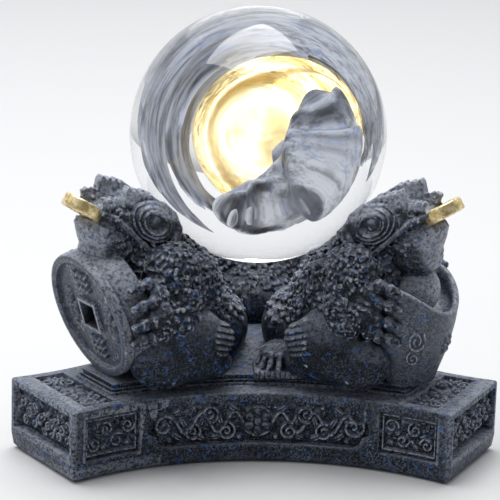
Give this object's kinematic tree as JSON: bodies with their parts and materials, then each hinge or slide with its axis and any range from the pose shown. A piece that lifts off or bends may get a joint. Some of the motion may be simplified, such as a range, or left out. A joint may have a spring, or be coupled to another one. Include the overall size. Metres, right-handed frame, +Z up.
{
  "type": "crystal ball on stand",
  "caption": "Clear glass ball resting on the backs of toads that sit on a three-armed cast stand, for stage magic, fortune telling or display.",
  "frame": {"origin": "on the ball's vertical axis, at the surface that the base pad rests on", "axes": "+Z up through the ball's centre; +X to the right along the front concave side, which faces -Y; the arms point to 90, 210 and 330 degrees about +Z"},
  "size_m": [0.1524, 0.1319, 0.1356],
  "materials": {
    "glass": "clear, polished",
    "resin": "cast resin, near black with blue speckle, semi-gloss",
    "gold": "gold coloured, brushed",
    "felt": "black felt"
  },
  "bodies": {
    "stand": {"base_pad": "felt", "plinth": "resin", "upper_tier": "resin", "side_relief_front": "resin", "side_relief_right": "resin", "side_relief_left": "resin", "end_relief_rear": "resin", "end_relief_left": "resin", "end_relief_right": "resin", "top_relief_rear": "resin", "top_relief_left": "resin", "top_relief_right": "resin", "coin_drum": "resin", "ingot": "resin", "ingot_pearl": "resin", "stack_coin_1": "resin", "stack_coin_2": "resin", "stack_coin_3": "resin", "stack_coin_4": "resin", "mouth_coin_rear": "gold", "mouth_coin_left": "gold", "mouth_coin_right": "gold", "rear_toad_body": "resin", "rear_toad_head": "resin", "rear_toad_lower_jaw": "resin", "rear_toad_foreleg_left": "resin", "rear_toad_foreleg_right": "resin", "rear_toad_hindleg_left": "resin", "rear_toad_hindleg_right": "resin", "left_toad_body": "resin", "left_toad_head": "resin", "left_toad_lower_jaw": "resin", "left_toad_foreleg_left": "resin", "left_toad_foreleg_right": "resin", "left_toad_hindleg_left": "resin", "left_toad_hindleg_right": "resin", "right_toad_body": "resin", "right_toad_head": "resin", "right_toad_lower_jaw": "resin", "right_toad_foreleg_left": "resin", "right_toad_foreleg_right": "resin", "right_toad_hindleg_left": "resin", "right_toad_hindleg_right": "resin"},
    "ball": {"crystal_ball": "glass"}
  },
  "joints": [
    {"name": "ball_lift", "type": "slide", "parent": "stand", "child": "ball", "axis": [0, 0, 1], "range_m": [0, 0.06]}
  ]
}
